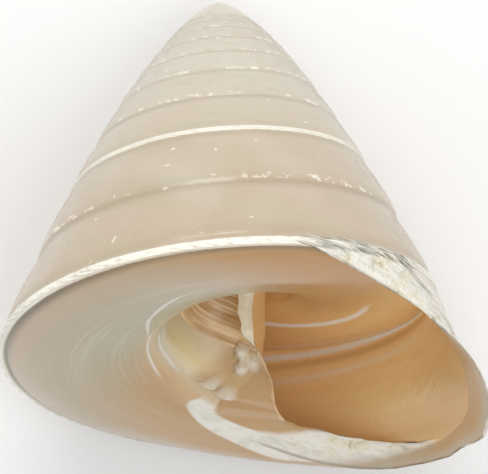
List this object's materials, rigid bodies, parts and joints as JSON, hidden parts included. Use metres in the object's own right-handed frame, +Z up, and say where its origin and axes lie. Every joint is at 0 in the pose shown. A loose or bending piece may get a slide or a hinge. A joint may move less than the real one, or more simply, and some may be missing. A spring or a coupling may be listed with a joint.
{
  "type": "top shell",
  "caption": "Polished pearl top shell lying on its flank, a coiled cone with a keeled rim, a funnel in its flat base and an open pearly mouth.",
  "frame": {"origin": "middle of the bounding box, on the floor that the shell lies on", "axes": "+Z up from the floor; +Y from the mouth towards the apex, which lies low; +X across the widest part of the base"},
  "size_m": [0.0698, 0.068, 0.0563],
  "materials": {
    "nacre": "polished"
  },
  "bodies": {
    "root": {"shell": "nacre"}
  },
  "joints": []
}
